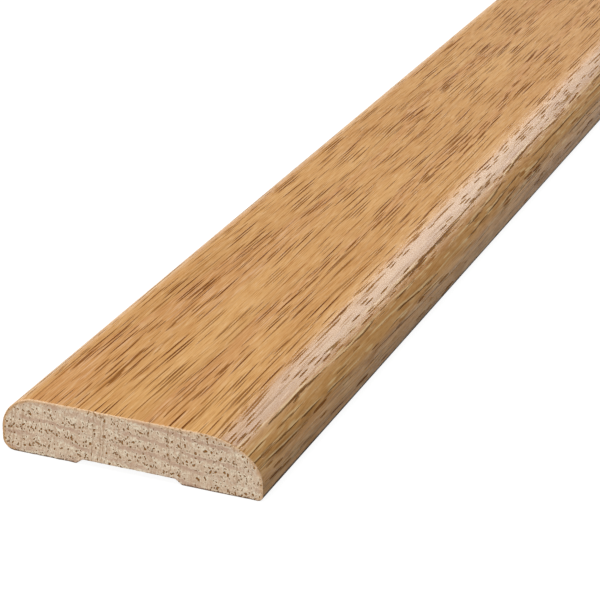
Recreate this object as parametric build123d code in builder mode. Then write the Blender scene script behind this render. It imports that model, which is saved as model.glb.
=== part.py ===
from build123d import *

import os

# Flat oak strip: one stick of prefinished moulding, lying on its back.
# Millimetres. X runs across the strip, towards the edge with the wide curve,
# Y runs along it and Z is up. The origin is on the floor, under the middle.

# Overall sizes
length = 914.4
width = 44.45
thickness = 9.525

# Narrow edge, at -X: a small round at the foot, a short upright wall,
# and a quarter round that takes the rest of the thickness
narrow_foot_radius = 2.0
narrow_wall = 1.525

# Wide edge, at +X: the same order, with a quarter ellipse that falls away
# from the face over a longer run than its drop
wide_foot_radius = 1.0
wide_wall = 1.775
wide_curve_run = 10.2

# Relief: the shallow channel planed along the back
relief_width = 18.1
relief_depth = 0.85
relief_wall_run = 1.1
relief_corner_radius = 0.3
relief_shift = 0.275  # from the strip's middle towards the narrow edge

# Places worked out from the sizes
narrow_side = -width / 2
wide_side = width / 2
narrow_wall_top = narrow_foot_radius + narrow_wall
wide_wall_top = wide_foot_radius + wide_wall
narrow_round_radius = thickness - narrow_wall_top
wide_curve_drop = thickness - wide_wall_top
relief_start = -relief_shift - relief_width / 2
relief_end = -relief_shift + relief_width / 2


def draw_back():
    """The back, from the narrow foot to the wide foot, with the relief in it."""
    return Polyline(
        (narrow_side + narrow_foot_radius, 0),
        (relief_start, 0),
        (relief_start + relief_wall_run, relief_depth),
        (relief_end - relief_wall_run, relief_depth),
        (relief_end, 0),
        (wide_side - wide_foot_radius, 0),
    )


def draw_wide_edge(back):
    """The wide edge, from its foot up to the face."""
    foot = RadiusArc(back @ 1, (wide_side, wide_foot_radius), -wide_foot_radius)
    Line(foot @ 1, (wide_side, wide_wall_top))
    return EllipticalCenterArc(
        (wide_side - wide_curve_run, wide_wall_top),
        wide_curve_run,
        wide_curve_drop,
        start_angle=0,
        arc_size=90,
    )


def draw_narrow_edge(back, face):
    """The narrow edge, from the face down to its foot."""
    wall_top = (narrow_side, narrow_wall_top)
    wall_foot = (narrow_side, narrow_foot_radius)
    RadiusArc(face @ 1, wall_top, -narrow_round_radius)
    Line(wall_top, wall_foot)
    RadiusArc(wall_foot, back @ 0, -narrow_foot_radius)


def is_relief_corner(corner):
    """True for the channel's two mouth corners and two floor corners."""
    across = abs(corner.X + relief_shift) < relief_width / 2 + relief_corner_radius
    return across and corner.Y < thickness / 2


with BuildPart() as strip:
    with BuildSketch(Plane.XZ) as section:
        with BuildLine():
            back = draw_back()
            wide_curve = draw_wide_edge(back)
            face = Line(wide_curve @ 1, (narrow_side + narrow_round_radius, thickness))
            draw_narrow_edge(back, face)
        make_face()
        fillet(section.vertices().filter_by(is_relief_corner), relief_corner_radius)
    extrude(amount=length / 2, both=True)

strip.part.label = "strip"

os.makedirs("parts", exist_ok=True)
export_step(strip.part, "parts/strip.step")
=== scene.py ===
import math
from collections import namedtuple

import bpy
import numpy as np
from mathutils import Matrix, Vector


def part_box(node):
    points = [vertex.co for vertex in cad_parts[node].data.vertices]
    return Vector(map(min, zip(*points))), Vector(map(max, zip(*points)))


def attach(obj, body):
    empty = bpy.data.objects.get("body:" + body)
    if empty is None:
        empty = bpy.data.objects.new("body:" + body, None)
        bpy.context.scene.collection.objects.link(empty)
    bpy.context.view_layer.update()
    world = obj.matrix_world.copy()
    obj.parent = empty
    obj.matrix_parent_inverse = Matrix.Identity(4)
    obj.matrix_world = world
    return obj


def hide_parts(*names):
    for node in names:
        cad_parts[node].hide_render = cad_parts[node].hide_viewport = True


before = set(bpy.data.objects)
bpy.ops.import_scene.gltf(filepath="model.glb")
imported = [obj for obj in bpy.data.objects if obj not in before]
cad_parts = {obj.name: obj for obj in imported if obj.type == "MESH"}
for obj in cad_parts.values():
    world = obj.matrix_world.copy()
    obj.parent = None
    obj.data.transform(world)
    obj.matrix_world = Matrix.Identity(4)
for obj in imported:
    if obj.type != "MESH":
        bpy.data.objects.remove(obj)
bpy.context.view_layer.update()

# Units: the scene is in metres, and the sizes and textures below are in millimetres
MM = 0.001

# The strip's box, from the frame
box_low, box_high = (np.array(corner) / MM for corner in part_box("strip"))
LENGTH = box_high[1] - box_low[1]
WIDTH = box_high[0] - box_low[0]
THICKNESS = box_high[2] - box_low[2]
NARROW_SIDE, WIDE_SIDE = box_low[0], box_high[0]

# The two ends: where each is, which way is inward, and the seeds of its random relief
End = namedtuple("End", "y inward arris_seed saw_seed")
NEAR = End(box_low[1], 1, 21, 41)
FAR = End(box_high[1], -1, 31, 51)

# The two edges of the section
NARROW_FOOT_RADIUS = 2.0
NARROW_WALL = 1.525
NARROW_ROUND_RADIUS = THICKNESS - NARROW_FOOT_RADIUS - NARROW_WALL
WIDE_FOOT_RADIUS = 1.0
WIDE_WALL = 1.775
WIDE_CURVE_RUN = 10.2
WIDE_CURVE_DROP = THICKNESS - WIDE_FOOT_RADIUS - WIDE_WALL

# The relief in the back, which lies a little towards the narrow edge
RELIEF_WIDTH = 18.1
RELIEF_DEPTH = 0.85
RELIEF_WALL_RUN = 1.1
RELIEF_SHIFT = 0.275
RELIEF_START = -RELIEF_SHIFT - RELIEF_WIDTH / 2
RELIEF_END = -RELIEF_SHIFT + RELIEF_WIDTH / 2
CORNER_SOFTNESS = 0.18  # how far to each side of a corner its softening reaches
SOFTENING_STEPS = 9

# The camera, from the photo's perspective, measured from the near end's middle at floor level
CAMERA_RIGHT, CAMERA_BEFORE, CAMERA_UP = 138.9, 262.4, 161.7
CAMERA_TURN, CAMERA_DOWN = math.radians(22.87), math.radians(24.12)
CAMERA_LENS, CAMERA_SENSOR = 131.74, 36.0


# The section

CURVE_COLUMNS = 20  # columns of points on each curved edge
COLUMN_SPACING = 0.5
CURVE_CLEARANCE = 0.3  # least distance from an even column to the wide curve
CORNER_CLEARANCE = 0.15  # least distance from an even column to one at a corner
# Shares of the height at which each column has a point, closer near the faces
LEVELS = np.array([0, 0.03, 0.07, 0.13, 0.2, 0.3, 0.4, 0.5, 0.6, 0.7, 0.8, 0.87, 0.93, 0.97, 1])
HEIGHT_TOLERANCE = 0.01


def upper_outline(x):
    """Height of the section's upper outline at x."""
    into_round = np.clip(NARROW_SIDE + NARROW_ROUND_RADIUS - x, 0, NARROW_ROUND_RADIUS)
    into_curve = np.clip(x - WIDE_SIDE + WIDE_CURVE_RUN, 0, WIDE_CURVE_RUN) / WIDE_CURVE_RUN
    round_drop = NARROW_ROUND_RADIUS - np.sqrt(NARROW_ROUND_RADIUS**2 - into_round**2)
    curve_drop = WIDE_CURVE_DROP * (1 - np.sqrt(1 - into_curve**2))
    return THICKNESS - round_drop - curve_drop


def foot_rise(inset, radius):
    """Height of a foot's round, at a distance in from its wall."""
    left = np.clip(radius - inset, 0, radius)
    return radius - np.sqrt(radius**2 - left**2)


def relief_rise(x):
    """Height of the relief at x, with its four corners softened."""
    heights = []
    for shift in np.linspace(-CORNER_SOFTNESS, CORNER_SOFTNESS, SOFTENING_STEPS):
        inside = np.minimum(x + shift - RELIEF_START, RELIEF_END - x - shift)
        heights.append(RELIEF_DEPTH * np.clip(inside / RELIEF_WALL_RUN, 0, 1))
    return np.mean(heights, axis=0)


def lower_outline(x):
    """Height of the section's lower outline at x."""
    narrow_foot = foot_rise(x - NARROW_SIDE, NARROW_FOOT_RADIUS)
    wide_foot = foot_rise(WIDE_SIDE - x, WIDE_FOOT_RADIUS)
    return narrow_foot + wide_foot + relief_rise(x)


def columns_across():
    """The x of each column of points, close together where the section bends."""
    turn = np.linspace(0, math.pi / 2, CURVE_COLUMNS)
    narrow = NARROW_SIDE + NARROW_ROUND_RADIUS * (1 - np.cos(turn))
    wide = WIDE_SIDE - WIDE_CURVE_RUN * (1 - np.cos(turn))
    corners = []
    for mouth in (RELIEF_START, RELIEF_END):
        inward = math.copysign(1, -mouth)
        for corner in (mouth, mouth + inward * RELIEF_WALL_RUN):
            corners += list(corner + CORNER_SOFTNESS * np.array([-1, 0, 1]))
    first, last = narrow[-1] + COLUMN_SPACING, wide[-1] - CURVE_CLEARANCE
    even = np.arange(first, last, COLUMN_SPACING)
    clear = [x for x in even if min(abs(x - np.array(corners))) > CORNER_CLEARANCE]
    return np.sort(np.concatenate([narrow, wide, clear, corners]))


class Section:
    """The outline as one anticlockwise loop: back, wide wall, top, narrow wall."""

    def __init__(self):
        x = columns_across()
        lower, upper = lower_outline(x), upper_outline(x)
        wide_wall = lower[-1] + (upper[-1] - lower[-1]) * LEVELS[1:-1]
        narrow_wall = lower[0] + (upper[0] - lower[0]) * LEVELS[-2:0:-1]
        self.points = np.vstack([
            np.column_stack([x, lower]),
            np.column_stack([np.full(len(wide_wall), WIDE_SIDE), wide_wall]),
            np.column_stack([x, upper])[::-1],
            np.column_stack([np.full(len(narrow_wall), NARROW_SIDE), narrow_wall]),
        ])
        self.columns = len(x)
        self.count = len(self.points)
        self.find_inward()
        self.find_finished()
        self.measure_round()

    def find_inward(self):
        """The direction into the wood at each point."""
        points = self.points
        along = np.roll(points, -1, axis=0) - np.roll(points, 1, axis=0)
        inward = np.column_stack([-along[:, 1], along[:, 0]])
        self.inward = inward / np.linalg.norm(inward, axis=1, keepdims=True)

    def find_finished(self):
        """Which points are stained and coated: all but those between the feet."""
        x, height = self.points.T
        between_feet = x > NARROW_SIDE + NARROW_FOOT_RADIUS
        between_feet &= x < WIDE_SIDE - WIDE_FOOT_RADIUS
        self.finished = ~(between_feet & (height < RELIEF_DEPTH + HEIGHT_TOLERANCE))

    def measure_round(self):
        """Distances round the loop, from its first point and from where the finish starts."""
        steps = np.linalg.norm(np.roll(self.points, -1, axis=0) - self.points, axis=1)
        self.around = np.concatenate([[0], np.cumsum(steps)[:-1]])
        before_finish = np.flatnonzero(np.roll(self.finished, -1) & ~self.finished)[0]
        self.across_finish = (self.around - self.around[before_finish]) % steps.sum()

    def gaps(self, places):
        """Distance of each place in the section from the finished outline."""
        outline = self.points[self.finished]
        return np.array([np.hypot(*(outline - place).T).min() for place in places])


# Random relief that repeats on each run

NOISE_CELLS = 256


def value_noise(a, b, seed):
    """Smooth noise from -1 to 1, with a fresh random value at each whole a and b."""
    size = (NOISE_CELLS + 1, NOISE_CELLS + 1)
    table = np.random.default_rng(seed).uniform(-1, 1, size)
    a, b = np.broadcast_arrays(np.asarray(a, float), np.asarray(b, float))
    ia, ib = np.floor(a).astype(int), np.floor(b).astype(int)
    fa, fb = a - ia, b - ib
    fa, fb = fa * fa * (3 - 2 * fa), fb * fb * (3 - 2 * fb)
    ia, ib = ia % NOISE_CELLS, ib % NOISE_CELLS
    near = table[ia, ib] * (1 - fa) + table[ia + 1, ib] * fa
    far = table[ia, ib + 1] * (1 - fa) + table[ia + 1, ib + 1] * fa
    return near * (1 - fb) + far * fb


def positive_noise(a, b, seed):
    """The same noise, from 0 to 1."""
    return 0.5 + 0.5 * value_noise(a, b, seed)


# The strip's mesh: rings of points along it, and a grid of points on each end

FINISHED, SAWN, BACK = range(3)  # the material slots
FROM_FINISH = "from_finish"  # the mesh attribute with each point's distance from the finish

# Distance from an end to each of its rings, up to where the even spacing starts
END_RINGS = [0.55, 0.9, 1.5, 2.5, 4, 6, 9, 13]
RING_SPACING = 8.0

# The grain's ridges: their spacing round the section and along the strip, and their shares
BROAD_RIDGE, FINE_RIDGE = (2.3, 70), (0.9, 45)
BROAD_RIDGE_SHARE, FINE_RIDGE_SHARE = 0.4, 0.25
BROAD_RIDGE_SEED, FINE_RIDGE_SEED = 11, 12
DEEPEST_HOLLOW = 0.018

# The broken arris, two bands of faces between three rings
ARRIS_BANDS = 2
COARSE_CHIP, FINE_CHIP = 1.7, 0.55  # the spacing of its chips
COARSE_SHARE, FINE_SHARE, CHIP_BIAS = 0.35, 0.5, 0.1
CHIP_LEAST, CHIP_RANGE = 0.07, 0.26  # how far back from the end they reach
BITE_LEAST, BITE_PER_CHIP = 0.05, 0.4  # how far they bite into the section
MIDDLE_RING_BITE, MIDDLE_RING_CHIP = 0.4, 0.35  # the middle ring's shares of both
ARRIS_RING_GAP = 0.01

# The saw: how far an end leaves its plane, and the spacing of its waves
SAW_WANDER = 0.05
ARRIS_WANDER = 0.4  # the arris's share of that
ARRIS_WAVE, END_WAVE = 4, 3

# The rows of the noise that the arris uses
COARSE_ROW, FINE_ROW, SAW_ROW = 0.5, 7.5, 3.5


def ring_at(outline, y):
    """One ring of points at y, a number or one for each point."""
    return np.column_stack([outline[:, 0], np.broadcast_to(y, len(outline)), outline[:, 1]])


def arris_rings(section, end):
    """The three rings of a broken arris, from the sawn end to the finished face."""
    coarse = value_noise(section.around / COARSE_CHIP, COARSE_ROW, end.arris_seed)
    fine = value_noise(section.around / FINE_CHIP, FINE_ROW, end.arris_seed)
    share = np.clip(COARSE_SHARE * coarse + FINE_SHARE * fine + CHIP_BIAS, 0, 1)
    chip = CHIP_LEAST + CHIP_RANGE * share
    bite = section.inward * (BITE_LEAST + BITE_PER_CHIP * chip)[:, None]
    wander = SAW_WANDER * positive_noise(section.around / ARRIS_WAVE, SAW_ROW, end.arris_seed + 1)
    outline = section.points
    sawn_y = end.y + end.inward * wander * ARRIS_WANDER
    middle_y = end.y + end.inward * (chip * MIDDLE_RING_CHIP + ARRIS_RING_GAP)
    finished_y = end.y + end.inward * (chip + 2 * ARRIS_RING_GAP)
    return [
        ring_at(outline + bite, sawn_y),
        ring_at(outline + bite * MIDDLE_RING_BITE, middle_y),
        ring_at(outline, finished_y),
    ]


def ring_along(section, y):
    """A ring at y, with the finished faces hollowed a little along the grain."""
    broad = value_noise(section.around / BROAD_RIDGE[0], y / BROAD_RIDGE[1], BROAD_RIDGE_SEED)
    fine = value_noise(section.around / FINE_RIDGE[0], y / FINE_RIDGE[1], FINE_RIDGE_SEED)
    share = np.clip(0.5 + BROAD_RIDGE_SHARE * broad + FINE_RIDGE_SHARE * fine, 0, 1)
    hollow = DEEPEST_HOLLOW * share * section.finished
    return ring_at(section.points + section.inward * hollow[:, None], y)


def all_rings(section):
    """Every ring of the strip, from its near end to its far end."""
    even = np.arange(END_RINGS[-1], LENGTH / 2, RING_SPACING)[1:]
    half = np.concatenate([END_RINGS, even])
    stations = np.concatenate([NEAR.y + half, [0.0], (FAR.y - half)[::-1]])
    between = [ring_along(section, y) for y in stations]
    return arris_rings(section, NEAR) + between + arris_rings(section, FAR)[::-1]


def band_faces(section, ring):
    """(faces, their slots) between a ring and the next one."""
    point = np.arange(section.count)
    after = np.roll(point, -1)
    first, second = ring * section.count, (ring + 1) * section.count
    faces = np.column_stack([first + point, second + point, second + after, first + after])
    on_back = ~section.finished & ~section.finished[after]
    return faces, np.where(on_back, BACK, FINISHED)


def end_grid(section, ring, first_inner):
    """Point numbers of an end's grid: the ring round its border, new points inside it."""
    columns, inner_levels = section.columns, len(LEVELS) - 2
    grid = np.empty((columns, len(LEVELS)), int)
    grid[:, 0] = np.arange(columns)
    grid[-1, 1:-1] = columns + np.arange(inner_levels)
    grid[::-1, -1] = columns + inner_levels + np.arange(columns)
    grid[0, -2:0:-1] = 2 * columns + inner_levels + np.arange(inner_levels)
    grid += ring * section.count
    inner = first_inner + np.arange((columns - 2) * inner_levels)
    grid[1:-1, 1:-1] = inner.reshape(columns - 2, inner_levels)
    return grid


def end_points(section, ring_points, end):
    """The points inside an end's grid, which the saw has left a little uneven."""
    first_of_top = section.columns + len(LEVELS) - 2
    lower = ring_points[1 : section.columns - 1]
    upper = ring_points[first_of_top : first_of_top + section.columns][-2:0:-1]
    share = LEVELS[1:-1, None]
    points = (lower[:, None] + (upper - lower)[:, None] * share).reshape(-1, 3)
    uneven = positive_noise(points[:, 0] / END_WAVE, points[:, 2] / END_WAVE, end.saw_seed)
    points[:, 1] = end.y + end.inward * SAW_WANDER * uneven
    return points


def grid_faces(grid):
    """Faces of a grid of point numbers, seen from the near end."""
    corners = [grid[:-1, :-1], grid[1:, :-1], grid[1:, 1:], grid[:-1, 1:]]
    return np.stack(corners, axis=-1).reshape(-1, 4)


def closed_surface(section, rings):
    """(points, faces, their slots) of the whole strip: its rings joined, its ends closed."""
    last = len(rings) - 1
    points, faces, slots = list(rings), [], []
    for ring in range(last):
        band, band_slots = band_faces(section, ring)
        on_arris = ring < ARRIS_BANDS or ring >= last - ARRIS_BANDS
        faces.append(band)
        slots.append(np.full(section.count, SAWN) if on_arris else band_slots)
    first_inner = len(rings) * section.count
    for ring, end in ((0, NEAR), (last, FAR)):
        points.append(end_points(section, rings[ring], end))
        cap = grid_faces(end_grid(section, ring, first_inner))
        faces.append(cap if end.inward > 0 else cap[:, ::-1])
        slots.append(np.full(len(cap), SAWN))
        first_inner += len(points[-1])
    return np.vstack(points), np.vstack(faces), np.concatenate(slots)


def finish_gaps(section, rings, points):
    """Each point's distance from the finished outline, as seen along the strip."""
    on_rings = np.tile(section.gaps(section.points), len(rings))
    inside_ends = section.gaps(points[len(rings) * section.count :, [0, 2]])
    return np.concatenate([on_rings, inside_ends])


def strip_mesh():
    """The strip as one closed mesh, with its material slots and texture layout."""
    section = Section()
    rings = all_rings(section)
    points, faces, slots = closed_surface(section, rings)
    mesh = bpy.data.meshes.new("strip_body")
    mesh.from_pydata((points * MM).tolist(), [], faces.tolist())
    mesh.polygons.foreach_set("material_index", slots)
    mesh.polygons.foreach_set("use_smooth", np.ones(len(faces), bool))
    gaps = mesh.attributes.new(FROM_FINISH, "FLOAT", "POINT")
    gaps.data.foreach_set("value", finish_gaps(section, rings, points))
    lay_out_texture(mesh, section, points, faces, slots)
    mesh.update()
    return mesh


# The texture layout, in pixels of a square image for baking the part's colours

TEXTURE = 1024
MARGIN = 4
FINISHED_GIRTH = 60.4  # mm round the finished faces, from foot to foot
# Pixels to the mm
FINISHED_ALONG, FINISHED_ACROSS = 2.0, 7.8
END_SCALE = 9.9
BACK_ALONG, BACK_ACROSS = 1.11, 1.2


def lay_out_texture(mesh, section, points, faces, slots):
    """Lay the faces out flat: two halves of the finished face, the two ends, the back."""
    corners = faces.ravel()
    slot = np.repeat(slots, 4)
    x, y, z = points[corners].T
    far = np.repeat(points[faces, 1].mean(axis=1) > 0, 4)
    point = corners % section.count

    row_height = FINISHED_GIRTH * FINISHED_ACROSS + MARGIN
    row_length = (LENGTH / 2) * FINISHED_ALONG + 2 * MARGIN
    finished_u = MARGIN + np.where(far, y, y - NEAR.y) * FINISHED_ALONG
    finished_v = MARGIN + far * row_height + section.across_finish[point] * FINISHED_ACROSS
    end_u = row_length + z * END_SCALE
    end_v = MARGIN + far * (WIDTH * END_SCALE + MARGIN) + (x - NARROW_SIDE) * END_SCALE
    back_u = MARGIN + (y - NEAR.y) * BACK_ALONG
    back_v = 2 * row_height + MARGIN + section.around[point] * BACK_ACROSS
    u = np.select([slot == FINISHED, slot == SAWN], [finished_u, end_u], back_u)
    v = np.select([slot == FINISHED, slot == SAWN], [finished_v, end_v], back_v)
    layout = mesh.uv_layers.new(name="OFBake")
    layout.data.foreach_set("uv", (np.column_stack([u, v]) / TEXTURE).ravel())


# Shader nodes


class Nodes:
    """Adds nodes to a tree. What a method returns is a socket, unless it says otherwise."""

    def __init__(self, tree):
        self.tree = tree

    def add(self, kind, *values, **settings):
        """The new node itself, with the values fed to its first inputs."""
        node = self.tree.nodes.new("ShaderNode" + kind)
        for name, value in settings.items():
            setattr(node, name, value)
        for socket, value in zip(node.inputs, values):
            self.feed(socket, value)
        return node

    def feed(self, socket, value):
        """Link a socket to another one, or set it to a constant."""
        if isinstance(value, bpy.types.NodeSocket):
            self.tree.links.new(value, socket)
        else:
            socket.default_value = value

    def maths(self, operation, *values):
        return self.add("Math", *values, operation=operation).outputs[0]

    def plus(self, a, b):
        return self.maths("ADD", a, b)

    def minus(self, a, b):
        return self.maths("SUBTRACT", a, b)

    def times(self, a, b):
        return self.maths("MULTIPLY", a, b)

    def most(self, first, *others):
        """The greatest of the values."""
        for other in others:
            first = self.maths("MAXIMUM", first, other)
        return first

    def swing(self, value, reach):
        """A value of 0 to 1 as a swing about 0 that is reach wide."""
        return self.times(self.minus(value, 0.5), reach)

    def vector_maths(self, operation, a, b):
        return self.add("VectorMath", a, b, operation=operation).outputs[0]

    def split(self, vector):
        """The three sockets x, y and z."""
        return self.add("SeparateXYZ", vector).outputs

    def in_cells(self, place, cell):
        """The place counted in cells of x by y by z mm."""
        return self.vector_maths("MULTIPLY", place, tuple(1 / size for size in cell))

    def noise(self, place, cell, detail, roughness=0.5):
        """(value, colour) of a noise of about one feature to the cell."""
        node = self.add("TexNoise")
        self.feed(node.inputs["Vector"], self.in_cells(place, cell))
        self.feed(node.inputs["Scale"], 1.0)
        self.feed(node.inputs["Detail"], detail)
        self.feed(node.inputs["Roughness"], roughness)
        return node.outputs["Fac"], node.outputs["Color"]

    def scatter(self, counted, randomness, dimensions="3D"):
        """(distance to the nearest of the points scattered one to a cell, its random colour)."""
        node = self.add("TexVoronoi", feature="F1", voronoi_dimensions=dimensions)
        self.feed(node.inputs["Vector"], counted)
        self.feed(node.inputs["Scale"], 1.0)
        self.feed(node.inputs["Randomness"], randomness)
        return node.outputs["Distance"], node.outputs["Color"]

    def ramp(self, value, start, end, low=0.0, high=1.0):
        """Smooth change from low to high as value goes from start to end."""
        node = self.add("MapRange", value, start, end, low, high, interpolation_type="SMOOTHSTEP")
        return node.outputs[0]

    def blend(self, share, a, b):
        """Colour a, turning to b as share goes from 0 to 1."""
        node = self.add("Mix", data_type="RGBA")
        colours = [socket for socket in node.inputs if socket.type == "RGBA"]
        self.feed(node.inputs["Factor"], share)
        self.feed(colours[0], a)
        self.feed(colours[1], b)
        return next(socket for socket in node.outputs if socket.type == "RGBA")

    def layered(self, base, *layers):
        """The base colour under layers of (share, colour), laid on in turn."""
        for share, colour in layers:
            base = self.blend(share, base, colour)
        return base

    def bump(self, share, height, normal=None):
        """The normal where a share of a height in mm stands out, or sinks in if it is below 0."""
        node = self.add("Bump", invert=height < 0)
        self.feed(node.inputs["Strength"], 1.0)
        self.feed(node.inputs["Distance"], abs(height) * MM)
        self.feed(node.inputs["Height"], share)
        if normal is not None:
            self.feed(node.inputs["Normal"], normal)
        return node.outputs["Normal"]


def linear(red, green, blue):
    """A colour written as it shows on an sRGB screen, 0 to 255, as Blender wants it."""
    def channel(value):
        value /= 255
        return value / 12.92 if value <= 0.04045 else ((value + 0.055) / 1.055) ** 2.4
    return (channel(red), channel(green), channel(blue), 1.0)


def palette(**colours):
    """Named colours, each written as it shows on a screen."""
    return {name: linear(*colour) for name, colour in colours.items()}


# The oak, as solid wood: the grain runs through the strip, so faces and ends agree

RING = 2.7  # from one growth ring to the next
RING_FALL = 4.8  # how far the rings fall towards the wide edge
RING_FALL_START, RING_FALL_END = -15.0, 19.0  # the x between which they fall
RING_RIPPLE = 2.2  # how far they ripple, from one extreme to the other

# How wide, how long and, where a third number is given, how deep a cell of each feature is
DRIFT_CELL = (26, 150, 26)
SWAY_CELL = (3.5, 22, 3.5)
RIPPLE_CELL = (11, 70, 11)
VESSEL_CELL = (0.45, 9.0, 0.70)
RAY_CELL = (0.62, 25.0)
LONG_RAY_CELL = (0.60, 60.0)
FINE_RAY_CELL = (0.42, 15.0)
DASH_CELL = (0.50, 7.5)
GLINT_CELL = (0.48, 8.0)
FIBRE_CELL = (0.20, 6.0, 0.20)
FLECK_CELL = (0.38, 3.4, 0.38)
HAIR_CELL = (0.42, 26.0, 0.42)
STREAK_CELL = (1.3, 30, 1.3)
TONE_CELL = (7.0, 50, 5.0)

# How far the fibres drift and sway from straight, from one extreme to the other
DRIFT_REACH = (5, 0, 3)
SWAY_REACH = (0.6, 0, 0.6)

RAY_LEAN = 0.12  # how far a ray leans towards the wide edge for each mm up
# In cells: how far the painted glint round a vessel takes to show, and the least vessel that has it
SHEATH_FADE, SHEATHED_RADIUS = 0.12, 0.12


def wobble(n, place, cell, detail, reach):
    """A smooth random shift that changes from cell to cell."""
    shift = n.noise(place, cell, detail)[1]
    return n.vector_maths("MULTIPLY", n.vector_maths("SUBTRACT", shift, (0.5,) * 3), reach)


def bent_place(n, place):
    """The place in mm, shifted so that straight fibres drift slowly and sway."""
    drift = wobble(n, place, DRIFT_CELL, 2, DRIFT_REACH)
    sway = wobble(n, place, SWAY_CELL, 1, SWAY_REACH)
    return n.vector_maths("ADD", n.vector_maths("ADD", place, drift), sway)


def ring_share(n, bent):
    """How far through its growth ring a place is, from 0 at its start to 1."""
    x, _, z = n.split(bent)
    ripple = n.noise(bent, RIPPLE_CELL, 1)[0]
    fall = n.ramp(x, RING_FALL_START, RING_FALL_END, 0.0, RING_FALL)
    level = n.plus(n.plus(z, fall), n.times(ripple, RING_RIPPLE))
    return n.maths("FRACT", n.times(level, 1 / RING))


def vessels(n, bent, ring):
    """(tubes along the grain, those picked to carry a painted fleck of highlight, the painted glint
    round them).
    """
    distance, pick = n.scatter(n.in_cells(bent, VESSEL_CELL), 0.95)
    chosen, strength, filled = n.split(pick)
    radius = n.times(n.ramp(ring, 0.0, 0.04), n.ramp(ring, 0.10, 0.85, 0.42, 0.22))
    tube = n.ramp(distance, n.times(radius, 0.65), radius, 1.0, 0.0)
    tube = n.times(tube, n.maths("GREATER_THAN", chosen, 0.06))
    tube = n.times(tube, n.ramp(strength, 0.0, 1.0, 0.45, 1.0))
    # Painted glint: a pale ring round each larger vessel
    sheath = n.ramp(distance, radius, n.plus(radius, SHEATH_FADE))
    sheath = n.times(sheath, n.ramp(distance, 0.40, 0.62, 1.0, 0.0))
    sheath = n.times(sheath, n.maths("GREATER_THAN", radius, SHEATHED_RADIUS))
    return tube, n.times(tube, n.maths("GREATER_THAN", filled, 0.45)), sheath


def rays(n, bent, cell, share, faintest):
    """Thin upright sheets along the grain in a share of the cells: rays, dashes or painted glints.
    """
    x, y, z = n.split(bent)
    leaning = n.minus(x, n.times(z, RAY_LEAN))
    counted = n.add("CombineXYZ", n.times(leaning, 1 / cell[0]), n.times(y, 1 / cell[1]), 0.0)
    distance, pick = n.scatter(counted.outputs[0], 0.75, "2D")
    chosen, strength, _ = n.split(pick)
    line = n.ramp(distance, 0.16, 0.28, 1.0, 0.0)
    line = n.times(line, n.maths("LESS_THAN", chosen, share))
    return n.times(line, n.ramp(strength, 0.0, 1.0, faintest, 1.0))


def all_rays(n, bent):
    """Rays of three lengths, the longest and the finest of them a little fainter."""
    return n.most(
        rays(n, bent, RAY_CELL, share=0.60, faintest=0.55),
        n.times(rays(n, bent, FINE_RAY_CELL, share=0.42, faintest=0.20), 0.9),
        n.times(rays(n, bent, LONG_RAY_CELL, share=0.22, faintest=0.3), 0.8),
    )


def wood_figure(n, bent):
    """Everything that the figure is made of, by name."""
    ring = ring_share(n, bent)
    vessel, filled, sheath = vessels(n, bent, ring)
    fibre = n.noise(bent, FIBRE_CELL, 3, 0.6)[0]
    dash = rays(n, bent, DASH_CELL, share=0.40, faintest=0.5)
    return {
        "Ring": ring,
        "Vessel": vessel,
        "Filled": filled,
        "Sheath": sheath,
        "Ray": all_rays(n, bent),
        "Dash": n.times(dash, n.ramp(fibre, 0.36, 0.50)),
        # Glint: thin pale strokes painted as highlights on the wide curve's slope
        "Glint": rays(n, bent, GLINT_CELL, share=0.34, faintest=0.4),
        "Fibre": fibre,
        "Fleck": n.noise(bent, FLECK_CELL, 2)[0],
        "Hair": n.noise(bent, HAIR_CELL, 1)[0],
        "Streak": n.noise(bent, STREAK_CELL, 3, 0.6)[0],
        "Tone": n.noise(bent, TONE_CELL, 2)[0],
    }


def oak_group():
    """The wood's figure, as a group that every surface of the strip shares."""
    group = bpy.data.node_groups.new("oak_figure", "ShaderNodeTree")
    group.interface.new_socket("Place", in_out="INPUT", socket_type="NodeSocketVector")
    n = Nodes(group)
    bent = bent_place(n, group.nodes.new("NodeGroupInput").outputs[0])
    figure = wood_figure(n, bent)
    for name in figure:
        group.interface.new_socket(name, in_out="OUTPUT", socket_type="NodeSocketFloat")
    leave = group.nodes.new("NodeGroupOutput")
    for name, value in figure.items():
        n.feed(leave.inputs[name], value)
    return group


# What the strip's three materials share

WIDE_ARRIS_BLEND = (8, 15)  # the x between which the arris turns less bare
TORN_CELL = (0.7, 0.7, 0.7)


def new_material(name):
    """(material, its Nodes, its Principled node) with the default nodes cleared."""
    material = bpy.data.materials.new(name)
    material.use_nodes = True
    material.node_tree.nodes.clear()
    n = Nodes(material.node_tree)
    shader = n.add("BsdfPrincipled")
    n.feed(n.add("OutputMaterial").inputs["Surface"], shader.outputs[0])
    return material, n, shader


def set_surface(n, shader, base, roughness, specular, normal):
    """Feed the Principled node its colour, roughness, shine and normal."""
    n.feed(shader.inputs["Base Color"], base)
    n.feed(shader.inputs["Roughness"], roughness)
    n.feed(shader.inputs["Specular IOR Level"], specular)
    n.feed(shader.inputs["Normal"], normal)


def figure_at(n, group, torn=0.0):
    """(the oak's outputs by name, the place in mm); torn is how far a saw drags the wood."""
    place = n.vector_maths("MULTIPLY", n.add("TexCoord").outputs["Object"], (1 / MM,) * 3)
    wood = place
    if torn:
        wood = n.vector_maths("ADD", place, wobble(n, place, TORN_CELL, 1, (torn, 0, torn)))
    return n.add("Group", wood, node_tree=group).outputs, place


def from_finish(n):
    """Distance in mm from the finished faces, as the mesh carries it."""
    return n.add("Attribute", attribute_name=FROM_FINISH).outputs["Fac"]


def less_on_wide_arris(n, x):
    """1 on the flat face, falling to about a third along the wide curve."""
    return n.ramp(x, *WIDE_ARRIS_BLEND, 1.0, 0.35)


# The stained and coated faces

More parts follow.
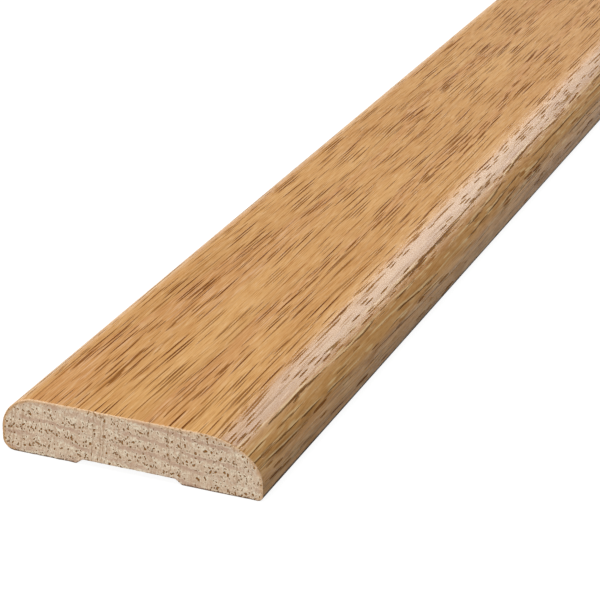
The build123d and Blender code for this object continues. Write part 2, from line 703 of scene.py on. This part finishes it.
STAINED = palette(
    honey=(219, 165, 97),
    deep_honey=(208, 151, 83),
    streak=(196, 133, 64),
    early_on_side=(146, 98, 44),
    early_on_face=(200, 136, 78),
    latewood=(190, 136, 72),
    pale_fibre=(238, 192, 132),
    dark_fibre=(186, 122, 50),
    pale_fleck=(238, 196, 146),
    dark_fleck=(182, 115, 44),
    hair=(124, 70, 16),
    # painted shade down the wide curve and along its crest, where the highlight falls
    shoulder=(110, 72, 32),
    crest=(96, 64, 48),
    # painted highlights beside the ring lines and on the wide curve's slope
    pale_edge=(236, 202, 146),
    ring_line=(96, 58, 24),
    # painted highlight flecks on some vessels, in place of glints off the pores
    filled_vessel=(236, 192, 150),
    open_vessel=(122, 65, 10),
    ray=(110, 56, 2),
    # painted shade where the rounds turn down under the feet
    foot=(72, 52, 36),
    bare=(240, 206, 168),
)
WIDE_CURVE_BLEND = (0.0, 8.0)  # the x between which the painted shade down the wide curve sets in
NARROW_SHOULDER = (-19.6, -15.5)  # the x between which the narrow round gains its shine
LINES_TO_THE_RING = 3.0
RAGGED_CELL = (0.5, 1.0, 0.5)
RAGGED_REACH = 0.9  # how far the bare arris swings along the strip
FIBRE_HEIGHT, STREAK_HEIGHT, GROOVE_HEIGHT = 0.010, 0.04, -0.08
FULL_SPECULAR = 0.5


def upward(n):
    """How far the surface faces up: 1 on the flat face, 0 on a side, below 0 under a foot."""
    return n.split(n.add("TexCoord").outputs["Normal"])[2]


def flatness(n, up):
    """From 0 low on the moulded edges to 1 on the flat face."""
    return n.ramp(up, 0.45, 0.95)


def bare_arris(n, place):
    """Share of bare wood where the saw has broken the finish away, ragged along the end."""
    to_end = n.minus(LENGTH / 2, n.maths("ABSOLUTE", n.split(place)[1]))
    ragged = n.noise(place, RAGGED_CELL, 2, 0.6)[0]
    return n.ramp(n.plus(to_end, n.swing(ragged, RAGGED_REACH)), 0.20, 0.32, 0.75, 0.0)


def ring_lines(n, oak, share):
    """(dark lines along the rings, painted highlights beside them), broken here and there."""
    wavy = n.plus(n.times(oak["Ring"], LINES_TO_THE_RING), n.times(oak["Fibre"], 0.35))
    part = n.maths("FRACT", wavy)
    broken = n.times(n.ramp(oak["Hair"], 0.46, 0.54), share)
    dark = n.times(n.ramp(part, 0.08, 0.22, 1.0, 0.0), broken)
    pale = n.times(n.ramp(part, 0.16, 0.26), n.ramp(part, 0.30, 0.46, 1.0, 0.0))
    return dark, n.times(pale, broken)


def finish_marks(n, oak, up):
    """The figure's dark marks and painted highlights by name, each where the moulded faces show it.
    """
    on_crest = n.times(n.ramp(up, 0.995, 0.975), n.ramp(up, 0.70, 0.85))
    on_slope = n.times(n.ramp(up, 0.97, 0.86), n.ramp(up, 0.15, 0.55, 0.35, 1.0))
    on_side = n.ramp(up, 0.86, 0.72, 0.0, 0.7)
    early = n.ramp(oak["Ring"], 0.15, 0.42, 1.0, 0.0)
    # Painted highlight: pale flecks on picked vessels stand in for glints off the pores.
    filled = n.times(oak["Filled"], n.times(early, flatness(n, up)))
    unfilled = n.ramp(n.minus(n.times(oak["Vessel"], early), filled), 0.2, 0.8)
    side_vessel = n.times(n.ramp(oak["Vessel"], 0.50, 0.80), on_side)
    dark_line, pale_edge = ring_lines(n, oak, on_slope)
    return {
        "filled": filled,
        "vessel": n.most(unfilled, side_vessel, n.times(oak["Dash"], on_crest)),
        "ray": n.times(oak["Ray"], n.ramp(up, 0.945, 0.995, 0.22, 1.0)),
        "dark_line": dark_line,
        "pale_edge": n.most(pale_edge, n.times(oak["Glint"], on_slope)),
    }


def wide_curve_shades(n, x, up):
    """(share of the painted shade down the wide curve, share of the painted shade along its crest,
    where the highlight falls).
    """
    on_wide_curve = n.ramp(x, *WIDE_CURVE_BLEND)
    shoulder = n.times(n.ramp(up, 0.98, 0.90), n.ramp(up, 0.35, 0.70))
    crest = n.times(n.ramp(up, 0.988, 0.972), n.ramp(up, 0.86, 0.93))
    shoulder, crest = n.times(shoulder, on_wide_curve), n.times(crest, on_wide_curve)
    return n.times(shoulder, 0.14), n.times(crest, 0.25)


def stained_wood(n, oak, x, up):
    """The colour of the stained wood between its marks, with painted shade down the wide curve."""
    flat = flatness(n, up)
    early = n.ramp(oak["Ring"], 0.0, 0.30, 1.0, 0.0)
    early_tint = n.blend(flat, STAINED["early_on_side"], STAINED["early_on_face"])
    hair = n.times(n.ramp(oak["Hair"], 0.60, 0.70), n.ramp(flat, 0.0, 1.0, 0.45, 0.15))
    shoulder, crest = wide_curve_shades(n, x, up)
    return n.layered(
        n.blend(n.ramp(oak["Tone"], 0.3, 0.7), STAINED["honey"], STAINED["deep_honey"]),
        (n.ramp(oak["Streak"], 0.48, 0.72, 0.0, 0.6), STAINED["streak"]),
        (n.times(early, 0.55), early_tint),
        (n.times(n.ramp(oak["Ring"], 0.72, 0.98), 0.3), STAINED["latewood"]),
        (n.ramp(oak["Fibre"], 0.45, 0.75, 0.0, 0.50), STAINED["pale_fibre"]),
        (n.ramp(oak["Fibre"], 0.50, 0.25, 0.0, 0.50), STAINED["dark_fibre"]),
        (n.ramp(oak["Fleck"], 0.54, 0.70, 0.0, 0.34), STAINED["pale_fleck"]),
        (n.ramp(oak["Fleck"], 0.46, 0.30, 0.0, 0.34), STAINED["dark_fleck"]),
        (hair, STAINED["hair"]),
        # Painted shade down the wide curve, and darker wood under its highlight
        (shoulder, STAINED["shoulder"]),
        (crest, STAINED["crest"]),
    )


def marked_wood(n, stained, marks, up, bare):
    """The stained wood's colour with its marks, painted shade under its feet and its bare arris."""
    # Painted shade: the rounds that turn down under the feet are darkened where the floor would
    # shade them.
    foot = n.times(n.ramp(up, 0.02, -0.12, 0.0, 0.95), n.ramp(up, -0.62, -0.90, 1.0, 0.35))
    return n.layered(
        stained,
        # Painted highlights beside the ring lines and glints on the slope
        (n.times(marks["pale_edge"], 0.8), STAINED["pale_edge"]),
        (n.times(marks["dark_line"], 0.75), STAINED["ring_line"]),
        # Painted highlight flecks on the vessels
        (n.times(marks["filled"], 0.55), STAINED["filled_vessel"]),
        (n.times(marks["vessel"], 0.75), STAINED["open_vessel"]),
        (marks["ray"], STAINED["ray"]),
        (foot, STAINED["foot"]),
        (bare, STAINED["bare"]),
    )


def coat_gloss(n, marks, x, up):
    """Share of the clear coat's shine, which the marks, sides and narrow shoulder lack."""
    dull = n.most(marks["vessel"], marks["dark_line"], marks["ray"])
    gloss = n.plus(n.ramp(up, 0.0, 0.30, 0.08, 0.30), n.ramp(up, 0.50, 1.0, 0.0, 0.70))
    gloss = n.times(gloss, n.ramp(dull, 0.0, 0.35, 1.0, 0.05))
    gloss = n.times(gloss, n.ramp(up, -0.3, 0.0))
    return n.times(gloss, n.ramp(x, *NARROW_SHOULDER, 0.1, 1.0))


def finish_relief(n, oak, marks):
    """The normal of the coated grain: its fibres, its streaks and the grooves of its marks."""
    groove = n.most(marks["vessel"], marks["dark_line"], n.times(marks["ray"], 0.3))
    normal = n.bump(oak["Fibre"], FIBRE_HEIGHT)
    normal = n.bump(oak["Streak"], STREAK_HEIGHT, normal)
    return n.bump(groove, GROOVE_HEIGHT, normal)


def finished_oak(group):
    """Honey stain under a satin clear coat."""
    material, n, shader = new_material("finished_oak")
    oak, place = figure_at(n, group)
    x, up = n.split(place)[0], upward(n)
    marks = finish_marks(n, oak, up)
    bare = n.times(bare_arris(n, place), less_on_wide_arris(n, x))
    base = marked_wood(n, stained_wood(n, oak, x, up), marks, up, bare)
    roughness = n.ramp(oak["Fibre"], 0.2, 0.8, 0.25, 0.33)
    specular = n.times(coat_gloss(n, marks, x, up), FULL_SPECULAR)
    set_surface(n, shader, base, roughness, specular, finish_relief(n, oak, marks))
    return material


# The sawn ends

END_GRAIN = palette(
    wood=(221, 194, 166),
    deep_wood=(209, 179, 151),
    pale_fuzz=(236, 220, 194),
    dark_fuzz=(178, 146, 118),
    # painted glints round the vessels
    sheath=(246, 234, 208),
    latewood=(194, 159, 135),
    vessel=(144, 98, 48),
    ray=(158, 118, 82),
    wicked_stain=(204, 158, 108),
    bare=(236, 200, 162),
    # painted contact shade along the end's lower rim
    dark_rim=(104, 74, 48),
)
SAW_DRAG = 0.8
FUZZ_CELL = (0.30, 0.6, 0.42)
PATCH_CELL = (2.6, 5.0, 1.2)
NARROW_RIM, WIDE_RIM = (-21, -12), (16, 21)  # the x between which the wicked stain changes
FUZZ_HEIGHT = 0.14


def end_grain(n, oak, fuzz, place):
    """The colour of the raw end grain inside its rim."""
    patch = n.noise(place, PATCH_CELL, 2, 0.6)[0]
    latewood = n.times(n.ramp(oak["Ring"], 0.66, 0.80), n.ramp(oak["Ring"], 0.94, 1.0, 1.0, 0.0))
    latewood = n.times(latewood, n.ramp(oak["Tone"], 0.40, 0.60, 0.35, 0.80))
    ray = n.plus(n.times(oak["Ray"], 0.18), n.times(n.ramp(oak["Ray"], 0.80, 0.95), 0.25))
    return n.layered(
        n.blend(n.ramp(patch, 0.35, 0.65), END_GRAIN["wood"], END_GRAIN["deep_wood"]),
        (n.ramp(fuzz, 0.50, 0.66, 0.0, 0.70), END_GRAIN["pale_fuzz"]),
        (n.ramp(fuzz, 0.48, 0.34, 0.0, 0.50), END_GRAIN["dark_fuzz"]),
        # Painted glints round the vessels of the end grain
        (n.times(oak["Sheath"], 0.75), END_GRAIN["sheath"]),
        (latewood, END_GRAIN["latewood"]),
        (n.ramp(oak["Vessel"], 0.0, 0.55), END_GRAIN["vessel"]),
        (ray, END_GRAIN["ray"]),
    )


def end_rim(n, base, fuzz, place):
    """The end's colour with stain wicked in round it, a bare arris and painted contact shade along
    its lower rim.
    """
    x, _, z = n.split(place)
    depth = n.plus(from_finish(n), n.swing(fuzz, 0.5))
    at_edges = n.most(n.ramp(x, *NARROW_RIM, 0.85, 0.3), n.ramp(x, *WIDE_RIM, 0.3, 0.5))
    wicked = n.times(n.ramp(depth, 0.25, 0.75, 1.0, 0.0), at_edges)
    bare = n.times(n.ramp(from_finish(n), 0.0, 0.14, 1.0, 0.0), n.ramp(fuzz, 0.42, 0.58, 0.1, 0.7))
    above_floor = n.plus(z, n.swing(fuzz, 0.9))
    return n.layered(
        base,
        (wicked, END_GRAIN["wicked_stain"]),
        (n.times(bare, less_on_wide_arris(n, x)), END_GRAIN["bare"]),
        # Painted contact shade, darker towards the floor along the lower rim
        (n.ramp(above_floor, 0.14, 0.36, 0.85, 0.0), END_GRAIN["dark_rim"]),
    )


def sawn_oak(group):
    """Raw end grain, fuzzy from the saw, with stain wicked in around its rim."""
    material, n, shader = new_material("sawn_end_grain")
    oak, place = figure_at(n, group, torn=SAW_DRAG)
    fuzz = n.noise(place, FUZZ_CELL, 2, 0.6)[0]
    base = end_rim(n, end_grain(n, oak, fuzz, place), fuzz, place)
    height = n.minus(fuzz, n.times(oak["Vessel"], 1.2))
    normal = n.bump(height, FUZZ_HEIGHT)
    set_surface(n, shader, base, roughness=0.85, specular=0.2, normal=normal)
    return material


# The planed back

PLANED = palette(
    wood=(212, 186, 152),
    deep_wood=(200, 170, 136),
    streak=(184, 150, 116),
    fibre=(172, 136, 102),
    vessel=(136, 98, 66),
    ray=(142, 100, 66),
    crept_stain=(186, 130, 70),
)
CREEP_CELL = (3.0, 22.0, 3.0)
STAIN_CREEP, CREEP_SWING = 2.6, 6.0  # how far the stain has run in, and how much that varies
PLANED_HEIGHT = 0.04


def planed_oak(group):
    """Raw planed back, with stain that has run round from the edges."""
    material, n, shader = new_material("planed_back")
    oak, place = figure_at(n, group)
    edge = n.noise(place, CREEP_CELL, 3, 0.6)[0]
    reach = n.plus(from_finish(n), n.swing(edge, CREEP_SWING))
    base = n.layered(
        n.blend(n.ramp(oak["Tone"], 0.3, 0.7), PLANED["wood"], PLANED["deep_wood"]),
        (n.ramp(oak["Streak"], 0.45, 0.75, 0.0, 0.6), PLANED["streak"]),
        (n.ramp(oak["Fibre"], 0.50, 0.25, 0.0, 0.5), PLANED["fibre"]),
        (n.times(oak["Vessel"], 0.7), PLANED["vessel"]),
        (n.times(oak["Ray"], 0.6), PLANED["ray"]),
        (n.ramp(reach, 0.0, STAIN_CREEP, 0.85, 0.0), PLANED["crept_stain"]),
    )
    height = n.minus(oak["Fibre"], n.times(oak["Vessel"], 1.5))
    normal = n.bump(height, PLANED_HEIGHT)
    set_surface(n, shader, base, roughness=0.75, specular=0.25, normal=normal)
    return material


def make_strip():
    """The strip, which rides on the part's root and stands for its CAD solid."""
    group = oak_group()
    strip = bpy.data.objects.new("oak_strip", strip_mesh())
    for material in (finished_oak(group), sawn_oak(group), planed_oak(group)):
        strip.data.materials.append(material)
    bpy.context.scene.collection.objects.link(strip)
    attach(strip, "root")
    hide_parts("strip")


# The studio, in metres

FLOOR_RADIUS, SWEEP_RADIUS = 6.0, 0.5
FLOOR_SIDES, SWEEP_STEPS = 96, 12
FLOOR_DROP = 0.05 * MM  # keeps the floor clear of the strip's back
FLOOR_GREY, FLOOR_GLOW = 0.18, 0.92
WORLD_STRENGTH = 0.28
AIM_INWARD = 0.1  # how far in from the near end the lamps are aimed


def floor_mesh():
    """A round floor that curves up at its edge, as rings round a middle point."""
    profile = [(FLOOR_RADIUS, 0.0)]
    for turn in np.linspace(0, math.pi / 2, SWEEP_STEPS + 1)[1:]:
        out, up = math.sin(turn), 1 - math.cos(turn)
        profile.append((FLOOR_RADIUS + SWEEP_RADIUS * out, SWEEP_RADIUS * up))
    points = [(0.0, 0.0, -FLOOR_DROP)]
    for radius, height in profile:
        for turn in np.arange(FLOOR_SIDES) * 2 * math.pi / FLOOR_SIDES:
            x, y = radius * math.cos(turn), radius * math.sin(turn)
            points.append((x, y, height - FLOOR_DROP))
    side = np.arange(FLOOR_SIDES)
    after = np.roll(side, -1)
    faces = np.column_stack([np.zeros_like(side), 1 + side, 1 + after]).tolist()
    for first in 1 + FLOOR_SIDES * np.arange(len(profile) - 1):
        outer = first + FLOOR_SIDES
        faces += np.column_stack([first + side, outer + side, outer + after, first + after]).tolist()
    mesh = bpy.data.meshes.new("floor")
    mesh.from_pydata(points, [], faces)
    mesh.polygons.foreach_set("use_smooth", [True] * len(faces))
    return mesh


def pale_floor():
    """White to the eye and in reflections, with the strip's soft shadow kept."""
    material = bpy.data.materials.new("pale_floor")
    material.use_nodes = True
    material.node_tree.nodes.clear()
    n = Nodes(material.node_tree)
    path = n.add("LightPath").outputs
    seen = n.most(path["Is Camera Ray"], path["Is Glossy Ray"], path["Is Transmission Ray"])
    sheet, glow = n.add("BsdfDiffuse"), n.add("Emission")
    n.feed(sheet.inputs["Color"], (FLOOR_GREY, FLOOR_GREY, FLOOR_GREY, 1.0))
    n.feed(glow.inputs["Strength"], n.times(seen, FLOOR_GLOW))
    both = n.add("AddShader", sheet.outputs[0], glow.outputs[0])
    n.feed(n.add("OutputMaterial").inputs["Surface"], both.outputs[0])
    return material


def make_floor():
    """A pale floor, as staging."""
    floor = bpy.data.objects.new("floor", floor_mesh())
    floor.data.materials.append(pale_floor())
    bpy.context.scene.collection.objects.link(floor)


def make_world():
    """An even soft white all round."""
    world = bpy.data.worlds.new("studio")
    world.use_nodes = True
    background = world.node_tree.nodes["Background"]
    background.inputs["Color"].default_value = (1.0, 1.0, 1.0, 1.0)
    background.inputs["Strength"].default_value = WORLD_STRENGTH
    bpy.context.scene.world = world


def soft_light(name, toward, distance, size, watts):
    """A rectangular lamp, toward a direction from the strip's near part, facing it."""
    lamp = bpy.data.lights.new(name, "AREA")
    lamp.shape = "RECTANGLE"
    lamp.size, lamp.size_y = size
    lamp.energy = watts
    light = bpy.data.objects.new(name, lamp)
    way = Vector(toward).normalized()
    light.location = Vector((0.0, NEAR.y * MM + AIM_INWARD, 0.0)) + way * distance
    light.visible_camera = False
    light.rotation_mode = "QUATERNION"
    light.rotation_quaternion = way.to_track_quat("Z", "Y")
    bpy.context.scene.collection.objects.link(light)


def light_studio():
    """A window behind the strip, a lamp above it and two that fill its shadows."""
    soft_light("window_behind", (0.03, 0.83, 0.56), distance=2.6, size=(0.90, 0.95), watts=13.2)
    soft_light("key_above", (-0.40, 0.0, 0.92), distance=1.6, size=(1.2, 1.8), watts=19.1)
    soft_light("front_fill", (-0.25, -0.95, 0.2), distance=1.8, size=(1.0, 0.6), watts=18.6)
    soft_light("side_fill", (0.95, -0.25, 0.15), distance=1.8, size=(1.0, 0.5), watts=3.2)


def make_camera():
    """The camera, where the photo was taken from."""
    data = bpy.data.cameras.new("camera")
    data.lens, data.sensor_width = CAMERA_LENS, CAMERA_SENSOR
    data.clip_start, data.clip_end = 0.01, 50.0
    camera = bpy.data.objects.new("camera", data)
    camera.location = Vector((CAMERA_RIGHT, NEAR.y - CAMERA_BEFORE, CAMERA_UP)) * MM
    camera.rotation_euler = (math.pi / 2 - CAMERA_DOWN, 0.0, CAMERA_TURN)
    bpy.context.scene.collection.objects.link(camera)
    bpy.context.scene.camera = camera


make_strip()
make_floor()
make_world()
light_studio()
make_camera()
bpy.context.scene.view_settings.view_transform = "Standard"

bpy.context.view_layer.update()
